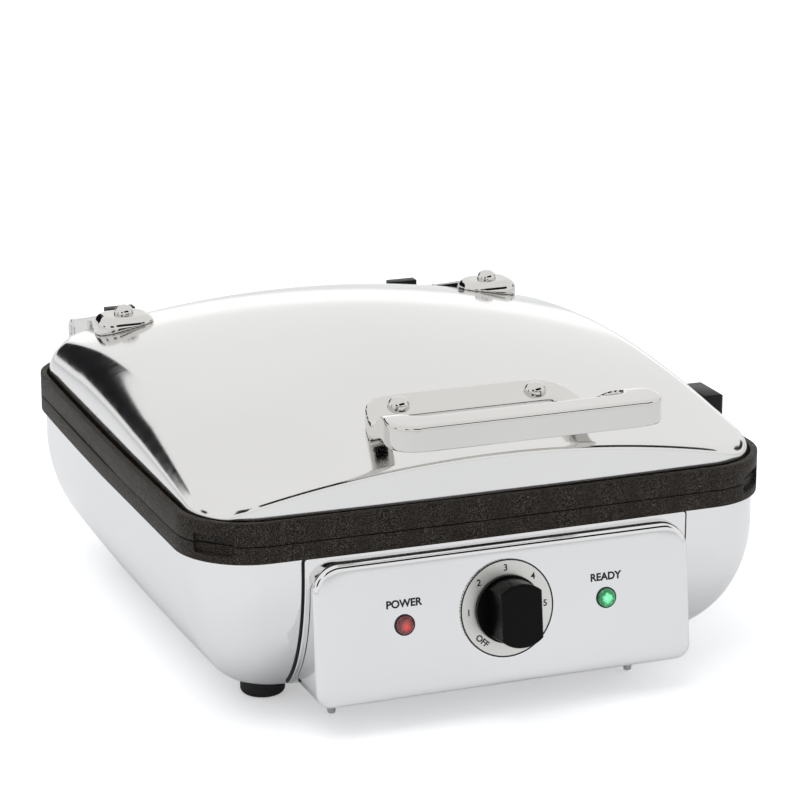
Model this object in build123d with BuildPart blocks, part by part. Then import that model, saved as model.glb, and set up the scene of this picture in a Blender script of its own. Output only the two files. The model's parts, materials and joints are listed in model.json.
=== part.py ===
from build123d import *
import os
from math import cos, radians, sin, sqrt

os.makedirs("parts", exist_ok=True)

# Cooking plates in plan, and the plane where they part
rim_width = 330.0
rim_depth = 340.0
rim_corner = 40.0
side_bow = 2.5
split_height = 105.0
parting_gap = 0.6
lower_rim_height = 9.0
upper_slab = 6.0
lip_height = 6.0
lip_wall = 3.5

# Waffle field: four squares of tapered studs on each plate
field_size = 244.0
field_corner = 8.0
field_divider = 8.0
studs_per_side = 4
stud_base = 20.0
stud_taper = 12.0
lower_depth = 18.0
lower_stud = 14.0
upper_depth = 13.0
upper_stud = 11.0
divider_drop = 3.0
plate_wall = 4.0
channel_width = 6.0
channel_depth = 3.0
channel_offset = 5.0
channel_corner = 24.0
notch_width = 23.0
notch_depth = 6.0
notch_height = 10.5
notch_corner = 2.0
notch_angle = 45.0

# Housing tub under the plates
foot_height = 11.0
foot_radius = 12.0
foot_inset_x = 57.0
foot_inset_y = 68.0
foot_recess = 4.0
foot_edge = 3.0
tub_sections = 7
case_inset = 2.5
case_wall = 1.0
under_height = 75.0
under_inset = 50.0
under_corner = 12.0
cover_opening_width = 120.0
cover_opening_depth = 130.0
cover_thickness = 1.2
cover_overlap = 8.0
cover_corner = 10.0
vent_count = 6
vent_pitch = 12.0
vent_length = 70.0
vent_width = 4.0

# Lid shell
lid_clearance = 1.5
lid_wall = 1.0
lid_crown = 57.5
lid_drop_x = 21.0
lid_drop_y = 19.0
lid_crown_shift = 15.0
lid_shoulder = 14.0

# Control panel
panel_tilt = 7.0
panel_width = 210.0
panel_height = 75.0
panel_proud = 8.5
panel_middle = 55.5
panel_top_corner = 15.0
panel_bottom_corner = 8.0
panel_wall = 2.0
panel_gap = 0.5
panel_flange = 1.5
panel_edge = 2.5
window_width = 180.0
window_height = 44.0
window_corner = 6.0
dial_rise = 3.5
dial_outer = 26.0
dial_thickness = 0.8
skirt_radius = 18.0
skirt_thickness = 2.5
skirt_gap = 0.6
grip_radius = 16.8
grip_width = 22.5
grip_height = 18.0
shaft_radius = 3.0
shaft_clearance = 0.05
light_x = 56.5
light_rise = 1.8
lens_radius = 5.0
lens_proud = 2.0
lens_step = 1.5
lamp_pin_radius = 0.8
lamp_pin_pitch = 4.0
lamp_pin_length = 6.0
pin_x = 85.0
pin_radius = 2.2
pin_inset = 24.0
pin_foot = 1.0
bush_radius = 4.8
bush_nut_radius = 7.5
bush_nut_height = 2.2
knob_nut_clearance = 1.0
knob_edge = 1.3
thermostat_width = 34.0
thermostat_depth = 28.0
shaft_depth = 20.0
shaft_end_gap = 0.5
shaft_cover = 4.0
lamp_length = 16.0

# Hinges
hinge_inset = 50.5
hinge_bolt_inset = 44.0
pivot_reach = 40.0
pivot_rise = 16.0
knuckle_radius = 6.5
hinge_pin_radius = 2.5
strap_width = 16.0
strap_offset = 2.0
tongue_width = 8.0
ear_clearance = 0.4
nut_radius = 5.7
nut_height = 5.0
base_low = 62.0
web_clearance = 1.5
strap_clearance = 3.0
strap_rise = 8.2
strap_fall = 0.8
strap_low = 127.0
pad_width = 34.0
pad_depth = 28.0
pad_corner = 11.0
pad_edge = 6.0
bracket_bite = 10.0
bracket_set = 12.0
bracket_gap = 2.0
bracket_lean = 11.5
bracket_bevel = 8.0
strap_depth = 25.0
hinge_bolt_end = 3.0
strap_screw_inset = 5.0
strap_screw_height = 135.0
strap_screw_head = 2.8
strap_screw_rise = 1.2
strap_screw_radius = 1.5
strap_screw_bite = 5.0

# Handle
handle_screw_x = 38.6
handle_screw_inset = 47.0
handle_plate_half = 54.0
handle_back_inset = 61.0
handle_front_inset = 36.0
handle_bar_half = 74.0
handle_bar_depth = 18.0
handle_overhang = 43.0
handle_bar_rise = 68.5
handle_bar_thickness = 13.5
handle_plate_thickness = 8.0
handle_corner = 13.0
handle_slot_corner = 8.0
handle_arm = 13.0
handle_flare = 6.0
handle_screw_head = 5.8
handle_head_height = 6.0
handle_end = 20.0
handle_root = 15.0
handle_lead = 3.0
handle_spot = 0.4

# Side tab on the upper plate
tab_length = 37.0
tab_front = 71.0
tab_thickness = 12.5
tab_height = 20.5
tab_flat = 26.0
tab_low = 14.0
tab_edge = 3.0
tab_head_radius = 3.5
tab_bite = 8.0
tab_inward = 6.0

# Rear stands
stand_inset = 72.5
stand_width = 18.0
stand_rise = 26.5
stand_wall = 7.0
stand_low = 52.0
stand_high = 92.0
stand_screw_edge = 4.5
stand_set = 20.0
stand_bevel = 6.0

# Heating elements, shields and the posts that hold the lower plate
element_half = 95.0
element_bend = 30.0
element_radius = 3.25
element_gap = 24.0
element_tail = 11.0
clamp_width = 22.0
clamp_length = 10.0
clamp_cap = 1.5
fuse_radius = 3.5
fuse_place = 35.0
fuse_length = 16.0
fuse_lead_radius = 0.8
fuse_lead_length = 40.0
terminal_place = 20.0
terminal_length = 44.0
terminal_width = 16.0
terminal_height = 15.0
terminal_pitch = 11.0
terminal_bore = 2.2
shield_size = 230.0
upper_shield_size = 216.0
shield_thickness = 0.8
lower_shield_height = 64.0
upper_shield_height = 132.0
post_x = 75.0
post_y = 76.0
post_radius = 4.0
post_shoulder = 6.0

# Cord gland
gland_x = 40.0
gland_height = 70.0
gland_radius = 7.0
gland_bore = 3.6
gland_flange = 3.5
gland_lip = 2.5
gland_length = 14.0

# Fasteners
screw_radius = 2.0
screw_head_radius = 4.0
screw_head_height = 2.4
wall_head_radius = 3.5
bolt_radius = 2.5
boss_radius = 6.0
thread_bite = 20.0
cover_screw_length = 5.0
fit_gap = 0.1
overshoot = 20.0
swing_angle = 22.0

# Derived heights and outlines
rim_top = split_height - parting_gap / 2
upper_bottom = split_height + parting_gap / 2
upper_ledge = upper_bottom + upper_slab
lip_top = upper_ledge + lip_height
case_top = rim_top - lower_rim_height
field_floor = rim_top - lower_depth
pan_bottom = field_floor - plate_wall
upper_ceiling = upper_bottom + upper_depth
pan_top = upper_ceiling + plate_wall
square_size = (field_size - field_divider) / 2
square_center = (square_size + field_divider) / 2
stud_pitch = square_size / studs_per_side
case_width = rim_width - 2 * case_inset
case_depth = rim_depth - 2 * case_inset
case_corner = rim_corner - case_inset
lid_inset = lip_wall + lid_clearance
lid_width = rim_width - 2 * lid_inset
lid_depth = rim_depth - 2 * lid_inset
lid_corner = rim_corner - lid_inset
crown_top = split_height + lid_crown
pivot_height = split_height + pivot_rise

# Places that keep their distance from the plates' edges
foot_x = rim_width / 2 - foot_inset_x
foot_y = rim_depth / 2 - foot_inset_y
panel_front = rim_depth / 2 + panel_proud
pin_y = rim_depth / 2 - pin_inset
hinge_x = rim_width / 2 - hinge_inset
hinge_bolt_y = rim_depth / 2 - hinge_bolt_inset
pivot_y = rim_depth / 2 + pivot_reach
strap_screw_y = rim_depth / 2 - strap_screw_inset
handle_screw_y = rim_depth / 2 - handle_screw_inset
handle_plate_back = rim_depth / 2 - handle_back_inset
handle_plate_front = rim_depth / 2 - handle_front_inset
handle_reach = rim_depth / 2 + handle_overhang
stand_x = rim_width / 2 - stand_inset


def pillow(width, depth, corner, bow):
    """Rounded rectangle whose four sides bow outward."""
    half_x = width / 2
    half_y = depth / 2
    with BuildSketch() as outline:
        with BuildLine():
            ThreePointArc((-half_x + bow, -half_y + bow), (0, -half_y), (half_x - bow, -half_y + bow))
            ThreePointArc((half_x - bow, -half_y + bow), (half_x, 0), (half_x - bow, half_y - bow))
            ThreePointArc((half_x - bow, half_y - bow), (0, half_y), (-half_x + bow, half_y - bow))
            ThreePointArc((-half_x + bow, half_y - bow), (-half_x, 0), (-half_x + bow, -half_y + bow))
        make_face()
        fillet(outline.vertices(), corner)
    return outline.sketch


def tub(inset):
    """Solid tub whose sides curve under, drawn in by an inset from the housing's outside."""
    width = case_width - 2 * inset
    depth = case_depth - 2 * inset
    corner = case_corner - inset
    knee = foot_height + under_height
    with BuildPart() as body:
        with BuildSketch(Plane.XY.offset(knee)):
            add(pillow(width, depth, corner, side_bow))
        extrude(amount=case_top - knee)
        for step in range(tub_sections):
            share = step / (tub_sections - 1)
            draw_in = (under_inset - inset) * (1 - cos(radians(90 * share)))
            level = knee - (under_height - inset) * sin(radians(90 * share))
            turn = corner + (under_corner - case_corner) * share
            with BuildSketch(Plane.XY.offset(level)):
                add(pillow(width - 2 * draw_in, depth - 2 * draw_in, turn, side_bow))
        loft()
    return body.part


def dome(inset):
    """Solid under the lid's two-way arch, drawn in by an inset from the lid's outside."""
    half_x = lid_width / 2
    half_y = lid_depth / 2
    radius_x = half_x**2 / (2 * lid_drop_x) + lid_drop_x / 2 - inset
    radius_y = half_y**2 / (2 * lid_drop_y) + lid_drop_y / 2 - inset
    top = crown_top - inset
    arch = Plane.XZ.offset(-lid_crown_shift)
    with BuildPart() as body:
        with BuildSketch(arch):
            with BuildLine():
                reach = half_x + overshoot
                sag = radius_x - sqrt(radius_x**2 - reach**2)
                ThreePointArc((-reach, top - sag), (0, top), (reach, top - sag))
                Polyline((reach, top - sag), (reach, 0), (-reach, 0), (-reach, top - sag))
            make_face()
        swing = Axis((0, lid_crown_shift, top - radius_y), (1, 0, 0))
        revolve(axis=swing, revolution_arc=2 * swing_angle)
    tilted = body.part.rotate(swing, -swing_angle)
    with BuildPart() as shell:
        with BuildSketch(Plane.XY.offset(upper_ledge)):
            add(pillow(lid_width - 2 * inset, lid_depth - 2 * inset, lid_corner - inset, side_bow))
        extrude(amount=lid_crown)
        add(tilted, mode=Mode.INTERSECT)
        crown = shell.faces().sort_by(Axis.Z)[-1]
        fillet(crown.edges(), lid_shoulder - inset)
    return shell.part


def dome_height(x, y):
    """Height of the lid's top over a point in plan, away from its shoulders."""
    radius_x = (lid_width / 2)**2 / (2 * lid_drop_x) + lid_drop_x / 2
    radius_y = (lid_depth / 2)**2 / (2 * lid_drop_y) + lid_drop_y / 2
    sag_x = radius_x - sqrt(radius_x**2 - x**2)
    sag_y = radius_y - sqrt(radius_y**2 - (y - lid_crown_shift)**2)
    return crown_top - sag_x - sag_y


def finish(part, name):
    """Label a finished piece, centre it with the side tab counted in, and write its STEP file."""
    piece = part.moved(Location((-tab_thickness / 2, 0, 0)))
    piece.label = name
    export_step(piece, f"parts/{name}.step")


tub_outer = tub(0)
tub_inner = tub(case_wall)
tub_flange = tub(-panel_flange)
dome_outer = dome(0)
dome_inner = dome(lid_wall)

# Placement shared by several pieces
tab_face = rim_width / 2 + tab_thickness
tab_screw_places = [(-tab_front + tab_length * share, upper_bottom + upper_slab / 2)
                    for share in (0.25, 0.75)]
foot_places = GridLocations(2 * foot_x, 2 * foot_y, 2, 2)
post_places = GridLocations(2 * post_x, 2 * post_y, 2, 2)
cover_width = cover_opening_width + 2 * cover_overlap
cover_depth = cover_opening_depth + 2 * cover_overlap
cover_screw_places = GridLocations(cover_width - cover_overlap, cover_depth - cover_overlap, 2, 2)
bracket_screw_height = case_top - 8
arm_x = hinge_x + strap_offset
hinge_screw_offset = strap_width / 2 - screw_head_radius
stand_screw_offset = stand_width / 2 - stand_screw_edge
tilt_sin = sin(radians(panel_tilt))
tilt_cos = cos(radians(panel_tilt))
panel_face = Plane(origin=(0, -panel_front, panel_middle), x_dir=(1, 0, 0), z_dir=(0, -tilt_cos, tilt_sin))


def on_panel(across, rise):
    """Plane on the panel's tilted face, with its origin moved across and up the face."""
    return Plane(origin=panel_face.from_local_coords((across, rise, 0)), x_dir=panel_face.x_dir,
                 z_dir=panel_face.z_dir)


def wall_drop(x):
    """How far the housing's bowed rear wall falls back at a distance from its middle."""
    return side_bow * (x / (case_width / 2 - side_bow))**2


dial_face = on_panel(0, dial_rise)
outward = Axis(dial_face.origin, dial_face.z_dir)

# Sheet-metal tub with a window behind the panel and an opening underneath
with BuildPart() as base_housing:
    add(tub_outer)
    add(tub_inner, mode=Mode.SUBTRACT)
    with BuildSketch(Plane.XZ.offset(case_depth / 2 + bracket_bite)):
        with Locations((0, panel_middle + dial_rise)):
            RectangleRounded(window_width, window_height, window_corner)
    extrude(amount=-2 * overshoot, mode=Mode.SUBTRACT)
    with BuildSketch(Plane.XY.offset(foot_height)):
        RectangleRounded(cover_opening_width, cover_opening_depth, cover_corner)
        with foot_places:
            Circle(screw_radius)
        with post_places:
            Circle(screw_radius)
        with cover_screw_places:
            Circle(screw_radius)
    extrude(amount=overshoot, mode=Mode.SUBTRACT)
    for x in (-arm_x, arm_x):
        with BuildSketch(Plane.XZ.offset(-case_depth / 2 - bracket_bite)):
            with Locations((x - hinge_screw_offset, bracket_screw_height),
                           (x + hinge_screw_offset, bracket_screw_height)):
                Circle(screw_radius)
        extrude(amount=2 * bracket_bite, mode=Mode.SUBTRACT)
    for x in (-stand_x, stand_x):
        with BuildSketch(Plane.XZ.offset(-case_depth / 2 - bracket_bite)):
            with Locations((x - stand_screw_offset, bracket_screw_height),
                           (x + stand_screw_offset, bracket_screw_height)):
                Circle(screw_radius)
        extrude(amount=2 * bracket_bite, mode=Mode.SUBTRACT)
    with BuildSketch(Plane.XZ.offset(-case_depth / 2 - bracket_bite)):
        with Locations((gland_x, gland_height)):
            Circle(gland_radius)
    extrude(amount=2 * overshoot, mode=Mode.SUBTRACT)
finish(base_housing.part, "base_housing")

with BuildPart() as bottom_cover:
    with BuildSketch(Plane.XY.offset(foot_height - cover_thickness)):
        RectangleRounded(cover_width, cover_depth, cover_corner)
        with cover_screw_places:
            Circle(screw_radius, mode=Mode.SUBTRACT)
        with GridLocations(0, vent_pitch, 1, vent_count):
            SlotOverall(vent_length, vent_width, mode=Mode.SUBTRACT)
    extrude(amount=cover_thickness)
finish(bottom_cover.part, "bottom_cover")


def pan_screws(places, seat, length):
    """Pan-head screws driven upward, with their heads below the seat."""
    with BuildPart() as screws:
        with BuildSketch(Plane.XY.offset(seat - screw_head_height)):
            with places:
                Circle(screw_head_radius)
        extrude(amount=screw_head_height)
        fillet(screws.edges().group_by(Axis.Z)[0], screw_head_height / 2)
        with BuildSketch(Plane.XY.offset(seat)):
            with places:
                Circle(screw_radius)
        extrude(amount=length)
    return screws.part


finish(pan_screws(cover_screw_places, foot_height - cover_thickness, cover_screw_length), "cover_screws")
finish(pan_screws(post_places, foot_height, thread_bite), "post_screws")
finish(pan_screws(foot_places, foot_recess, foot_height), "foot_screws")

for x, side in ((-foot_x, "left"), (foot_x, "right")):
    for y, end in ((-foot_y, "front"), (foot_y, "rear")):
        with BuildPart() as foot:
            with Locations((x, y, 0)):
                Cylinder(foot_radius, 2 * foot_height, align=(Align.CENTER, Align.CENTER, Align.MIN))
                fillet(foot.edges().group_by(Axis.Z)[0], foot_edge)
                Cylinder(screw_radius, 2 * foot_height, align=(Align.CENTER, Align.CENTER, Align.MIN),
                         mode=Mode.SUBTRACT)
                Cylinder(screw_head_radius + 1, foot_recess, align=(Align.CENTER, Align.CENTER, Align.MIN),
                         mode=Mode.SUBTRACT)
            add(tub_outer, mode=Mode.SUBTRACT)
        finish(foot.part, f"foot_{end}_{side}")

# Posts that carry the lower plate, shouldered to hold the heat shield
with BuildPart() as plate_posts:
    floor = foot_height + case_wall
    with BuildSketch(Plane.XY.offset(floor)):
        with post_places:
            Circle(post_shoulder)
    extrude(amount=lower_shield_height - floor)
    with BuildSketch(Plane.XY.offset(lower_shield_height)):
        with post_places:
            Circle(post_radius)
    extrude(amount=pan_bottom - lower_shield_height)
    with BuildSketch(Plane.XY.offset(floor)):
        with post_places:
            Circle(screw_radius)
    extrude(amount=thread_bite, mode=Mode.SUBTRACT)
finish(plate_posts.part, "plate_posts")


def shield(level, height, opening, holes):
    """Square tray of thin sheet, with its skirt on the given side of the level."""
    wall = shield_thickness
    with BuildPart() as tray:
        with BuildSketch(Plane.XY.offset(level)):
            RectangleRounded(opening, opening, 12)
        extrude(amount=height)
        with BuildSketch(Plane.XY.offset(level + (wall if height > 0 else -wall))):
            RectangleRounded(opening - 2 * wall, opening - 2 * wall, 12 - wall)
        extrude(amount=height - (wall if height > 0 else -wall), mode=Mode.SUBTRACT)
        if holes:
            with BuildSketch(Plane.XY.offset(level)):
                with post_places:
                    Circle(post_radius)
            extrude(amount=2 * wall, mode=Mode.SUBTRACT)
    return tray.part


lower_skirt = pan_bottom - lower_shield_height
upper_skirt = pan_top - upper_shield_height
finish(shield(lower_shield_height, lower_skirt, shield_size, True), "lower_heat_shield")
finish(shield(upper_shield_height, upper_skirt, upper_shield_size, False), "upper_heat_shield")


def element(level):
    """Tubular heating element bent into a square loop with two tails at the rear."""
    tail = element_half + element_tail
    half = element_half
    gap = element_gap / 2
    with BuildPart() as tube:
        with BuildLine(Plane.XY.offset(level)) as route:
            FilletPolyline((-gap, tail), (-gap, half), (-half, half), (-half, -half), (half, -half),
                           (half, half), (gap, half), (gap, tail),
                           radius=[9, element_bend, element_bend, element_bend, element_bend, 9])
        with BuildSketch(Plane(origin=route.line @ 0, z_dir=route.line % 0)):
            Circle(element_radius)
        sweep(path=route.line)
    return tube.part


finish(element(pan_bottom - element_radius), "lower_heating_element")
finish(element(pan_top + element_radius), "upper_heating_element")


def clamps(level, direction):
    """Three saddles that hold an element against a plate."""
    reach = 2 * element_radius + clamp_cap
    with BuildPart() as saddles:
        with BuildSketch(Plane.XY.offset(level)):
            with Locations((-element_half, 0), (element_half, 0)):
                RectangleRounded(clamp_width, clamp_length, 2)
            with Locations((0, -element_half)):
                RectangleRounded(clamp_length, clamp_width, 2)
        extrude(amount=direction * reach)
        center = level + direction * element_radius
        with Locations((-element_half, 0, center), (element_half, 0, center)):
            Box(2 * element_radius, clamp_width, 2 * element_radius, mode=Mode.SUBTRACT)
        with Locations((0, -element_half, center)):
            Box(clamp_width, 2 * element_radius, 2 * element_radius, mode=Mode.SUBTRACT)
    return saddles.part


finish(clamps(pan_bottom, -1), "lower_element_clamps")
finish(clamps(pan_top, 1), "upper_element_clamps")

with BuildPart() as thermal_fuse:
    with Locations((fuse_place, -fuse_place, pan_bottom - fuse_radius)):
        Cylinder(fuse_radius, fuse_length, rotation=(0, 90, 0))
        Cylinder(fuse_lead_radius, fuse_lead_length, rotation=(0, 90, 0))
finish(thermal_fuse.part, "thermal_fuse")

with BuildPart() as terminal_block:
    with Locations((-terminal_place, (cover_depth + terminal_width) / 2, foot_height + case_wall)):
        Box(terminal_length, terminal_width, terminal_height, align=(Align.CENTER, Align.CENTER, Align.MIN))
        with GridLocations(terminal_pitch, 0, 4, 1):
            with Locations((0, 0, terminal_height)):
                Cylinder(terminal_bore, terminal_height, mode=Mode.SUBTRACT)
finish(terminal_block.part, "terminal_block")

with BuildPart() as cord_gland:
    with BuildSketch(Plane.XZ.offset(-case_depth / 2 - gland_flange)):
        with Locations((gland_x, gland_height)):
            Circle(gland_radius + gland_lip)
    extrude(amount=2 * gland_flange)
    fillet(cord_gland.edges().sort_by(Axis.Y)[-1], 1)
    add(tub_outer, mode=Mode.SUBTRACT)
    with BuildSketch(Plane.XZ.offset(-case_depth / 2)):
        with Locations((gland_x, gland_height)):
            Circle(gland_radius)
    extrude(amount=gland_length)
    with BuildSketch(Plane.XZ.offset(-case_depth / 2 - gland_flange)):
        with Locations((gland_x, gland_height)):
            Circle(gland_bore)
    extrude(amount=2 * overshoot, mode=Mode.SUBTRACT)
finish(cord_gland.part, "cord_gland")

# Cast plates
field_places = GridLocations(2 * square_center, 2 * square_center, 2, 2)
stud_places = GridLocations(stud_pitch, stud_pitch, studs_per_side, studs_per_side)


def notch_cut():
    """Two shallow recesses in the front corners, centred on the parting plane."""
    with BuildPart() as cut:
        for side in (-1, 1):
            corner = Vector(side * (rim_width / 2 - rim_corner), -(rim_depth / 2 - rim_corner), split_height)
            outward = Vector(side * cos(radians(notch_angle)), -sin(radians(notch_angle)), 0)
            face = Plane(origin=corner + outward * (rim_corner - notch_depth), z_dir=outward)
            with BuildSketch(face):
                RectangleRounded(notch_width, notch_height, notch_corner)
            extrude(amount=overshoot)
    return cut.part


def boss(x, y, bottom):
    """Upright boss that reaches the inside of the lid shell."""
    with BuildPart() as column:
        with BuildSketch(Plane.XY.offset(bottom)):
            with Locations((x, y)):
                Circle(boss_radius)
        extrude(amount=lid_crown)
        add(dome_inner, mode=Mode.INTERSECT)
    return column.part


notches = notch_cut()

with BuildPart() as lower_cooking_plate:
    with BuildSketch(Plane.XY.offset(case_top)):
        add(pillow(rim_width, rim_depth, rim_corner, side_bow))
    extrude(amount=lower_rim_height)
    with BuildSketch(Plane.XY.offset(pan_bottom)):
        RectangleRounded(field_size + 2 * plate_wall, field_size + 2 * plate_wall, field_corner + plate_wall)
    extrude(amount=case_top - pan_bottom)
    with BuildSketch(Plane.XY.offset(field_floor)):
        RectangleRounded(field_size, field_size, field_corner)
    extrude(amount=lower_depth, mode=Mode.SUBTRACT)
    with BuildSketch(Plane.XY.offset(field_floor)):
        Rectangle(field_divider, field_size)
        Rectangle(field_size, field_divider)
    extrude(amount=lower_depth - divider_drop)
    with BuildSketch(Plane.XY.offset(field_floor)):
        with field_places:
            with stud_places:
                Rectangle(stud_base, stud_base)
    extrude(amount=lower_stud, taper=stud_taper)
    with BuildSketch(Plane.XY.offset(rim_top - channel_depth)):
        channel_inner = field_size + 2 * (plate_wall + channel_offset)
        channel_outer = channel_inner + 2 * channel_width
        RectangleRounded(channel_outer, channel_outer, channel_corner)
        RectangleRounded(channel_inner, channel_inner, channel_corner - channel_width, mode=Mode.SUBTRACT)
    extrude(amount=channel_depth, mode=Mode.SUBTRACT)
    add(notches, mode=Mode.SUBTRACT)
finish(lower_cooking_plate.part, "lower_cooking_plate")

handle_bosses = [boss(x, -handle_screw_y, pan_top - 2) for x in (-handle_screw_x, handle_screw_x)]
hinge_bosses = [boss(x, hinge_bolt_y, upper_ledge - 2) for x in (-hinge_x, hinge_x)]
bolt_places = [(-handle_screw_x, -handle_screw_y), (handle_screw_x, -handle_screw_y),
               (-hinge_x, hinge_bolt_y), (hinge_x, hinge_bolt_y)]

with BuildPart() as upper_cooking_plate:
    with BuildSketch(Plane.XY.offset(upper_bottom)):
        add(pillow(rim_width, rim_depth, rim_corner, side_bow))
    extrude(amount=upper_slab + lip_height)
    with BuildSketch(Plane.XY.offset(upper_ledge)):
        add(pillow(rim_width - 2 * lip_wall, rim_depth - 2 * lip_wall, rim_corner - lip_wall, side_bow))
    extrude(amount=lip_height, mode=Mode.SUBTRACT)
    with BuildSketch(Plane.XY.offset(upper_ledge)):
        RectangleRounded(field_size + 2 * plate_wall, field_size + 2 * plate_wall, field_corner + plate_wall)
    extrude(amount=pan_top - upper_ledge)
    for column in handle_bosses + hinge_bosses:
        add(column)
    with BuildSketch(Plane.XY.offset(upper_bottom)):
        RectangleRounded(field_size, field_size, field_corner)
    extrude(amount=upper_depth, mode=Mode.SUBTRACT)
    with BuildSketch(Plane.XY.offset(upper_bottom + divider_drop)):
        Rectangle(field_divider, field_size)
        Rectangle(field_size, field_divider)
    extrude(amount=upper_depth - divider_drop)
    with BuildSketch(Plane.XY.offset(upper_ceiling)):
        with field_places:
            with stud_places:
                Rectangle(stud_base, stud_base)
    extrude(amount=-upper_stud, taper=stud_taper)
    with BuildSketch(Plane.XY.offset(pan_top)):
        with Locations(*bolt_places[:2]):
            Circle(bolt_radius)
    extrude(amount=lid_crown, mode=Mode.SUBTRACT)
    with BuildSketch(Plane.XY.offset(upper_ledge)):
        with Locations(*bolt_places[2:]):
            Circle(bolt_radius)
    extrude(amount=lid_crown, mode=Mode.SUBTRACT)
    add(notches, mode=Mode.SUBTRACT)
    with BuildSketch(Plane.YZ.offset(rim_width / 2 - tab_bite)):
        with Locations(*tab_screw_places):
            Circle(screw_radius)
    extrude(amount=2 * tab_bite, mode=Mode.SUBTRACT)
finish(upper_cooking_plate.part, "upper_cooking_plate")

with BuildPart() as lid_shell:
    add(dome_outer)
    add(dome_inner, mode=Mode.SUBTRACT)
    with BuildSketch(Plane.XY.offset(upper_ledge)):
        with Locations(*bolt_places):
            Circle(bolt_radius)
    extrude(amount=lid_crown, mode=Mode.SUBTRACT)
finish(lid_shell.part, "lid_shell")

# Smooth moulded tab on the right of the upper plate
with BuildPart() as side_tab:
    with BuildSketch(Plane.YZ.offset(tab_face)):
        with BuildLine():
            Polyline((-tab_front, upper_bottom), (-tab_front, upper_bottom + tab_height),
                     (-tab_front + tab_flat, upper_bottom + tab_height),
                     (-tab_front + tab_length, upper_bottom + tab_low),
                     (-tab_front + tab_length, upper_bottom), (-tab_front, upper_bottom))
        make_face()
    extrude(amount=-tab_thickness - tab_inward)
    outer_face = side_tab.faces().sort_by(Axis.X)[-1]
    fillet(outer_face.edges().sort_by(Axis.Z)[1:], tab_edge)
    with BuildSketch(Plane.XY.offset(upper_bottom)):
        add(pillow(rim_width, rim_depth, rim_corner, side_bow))
    extrude(amount=upper_slab + lip_height, mode=Mode.SUBTRACT)
    with BuildSketch(Plane.XY.offset(lip_top)):
        with Locations((rim_width / 2 - overshoot / 2, -tab_front + tab_length / 2)):
            Rectangle(overshoot, 2 * tab_length)
    extrude(amount=tab_height, mode=Mode.SUBTRACT)
    with BuildSketch(Plane.YZ.offset(rim_width / 2 - tab_bite)):
        with Locations(*tab_screw_places):
            Circle(screw_radius)
    extrude(amount=2 * tab_thickness, mode=Mode.SUBTRACT)
    with BuildSketch(Plane.YZ.offset(tab_face - screw_head_height)):
        with Locations(*tab_screw_places):
            Circle(tab_head_radius)
    extrude(amount=screw_head_height, mode=Mode.SUBTRACT)
finish(side_tab.part, "side_tab")

with BuildPart() as tab_screws:
    with BuildSketch(Plane.YZ.offset(rim_width / 2 - tab_bite)):
        with Locations(*tab_screw_places):
            Circle(screw_radius)
    extrude(amount=tab_bite + tab_thickness - screw_head_height)
    with BuildSketch(Plane.YZ.offset(tab_face - screw_head_height)):
        with Locations(*tab_screw_places):
            Circle(tab_head_radius)
    extrude(amount=screw_head_height - fit_gap)
finish(tab_screws.part, "tab_screws")


# Front panel: a flange that follows the tub and a raised box with a tilted face
box_height = panel_height / 2
flange_top = case_top - panel_gap
flange_bottom = panel_middle - box_height * tilt_cos


def panel_outline(inset):
    """Outline of the raised face, with large corners above and small ones below."""
    width = panel_width - 2 * inset
    height = panel_height - 2 * inset
    with BuildSketch() as outline:
        Rectangle(width, height)
        fillet(outline.vertices().group_by(Axis.Y)[-1], panel_top_corner - inset)
        fillet(outline.vertices().group_by(Axis.Y)[0], panel_bottom_corner - inset)
    return outline.sketch


with BuildPart() as panel_box:
    with BuildSketch(panel_face):
        add(panel_outline(0))
    extrude(amount=under_inset + overshoot, dir=(0, 1, 0))
    fillet(panel_box.faces().sort_by(Axis.Y)[0].edges(), panel_edge)

with BuildPart() as panel_hollow:
    with BuildSketch(panel_face.offset(-panel_wall)):
        add(panel_outline(panel_wall))
    extrude(amount=under_inset + 2 * overshoot, dir=(0, 1, 0))

with BuildPart() as control_panel:
    add(tub_flange)
    with BuildSketch(Plane.XZ.offset(case_depth / 2 - under_inset)):
        with Locations((0, (flange_top + flange_bottom) / 2)):
            Rectangle(panel_width + 2 * panel_flange, flange_top - flange_bottom)
    extrude(amount=under_inset + overshoot, mode=Mode.INTERSECT)
    add(panel_box)
    add(panel_hollow, mode=Mode.SUBTRACT)
    add(tub_outer, mode=Mode.SUBTRACT)
    with BuildSketch(panel_face):
        with Locations((-light_x, light_rise), (light_x, light_rise)):
            Circle(lens_radius)
        with Locations((0, dial_rise)):
            Circle(bush_radius)
    extrude(amount=-2 * panel_wall, mode=Mode.SUBTRACT)
finish(control_panel.part, "control_panel")

with BuildPart() as panel_pins:
    with BuildSketch(Plane.XY.offset(pin_foot)):
        with Locations((-pin_x, -pin_y), (pin_x, -pin_y)):
            Circle(pin_radius)
    extrude(amount=flange_bottom - pin_foot)
    fillet(panel_pins.edges().group_by(Axis.Z)[0], pin_radius / 2)
finish(panel_pins.part, "panel_pins")

with BuildPart() as dial_plate:
    with BuildSketch(dial_face):
        Circle(dial_outer)
        Circle(bush_radius, mode=Mode.SUBTRACT)
    extrude(amount=dial_thickness)
finish(dial_plate.part, "dial_plate")

# Thermostat: body behind the panel, with a threaded bush that its nut clamps
with BuildPart() as thermostat_body:
    with BuildSketch(dial_face.offset(-panel_wall)):
        Rectangle(thermostat_width, thermostat_depth)
    extrude(amount=-thermostat_depth)
    with BuildSketch(dial_face.offset(-panel_wall)):
        Circle(bush_radius)
    extrude(amount=panel_wall + dial_thickness + bush_nut_height)
    with BuildSketch(dial_face.offset(dial_thickness + bush_nut_height)):
        Circle(shaft_radius + shaft_clearance)
    extrude(amount=-(shaft_depth + dial_thickness + bush_nut_height), mode=Mode.SUBTRACT)
finish(thermostat_body.part, "thermostat_body")

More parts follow.
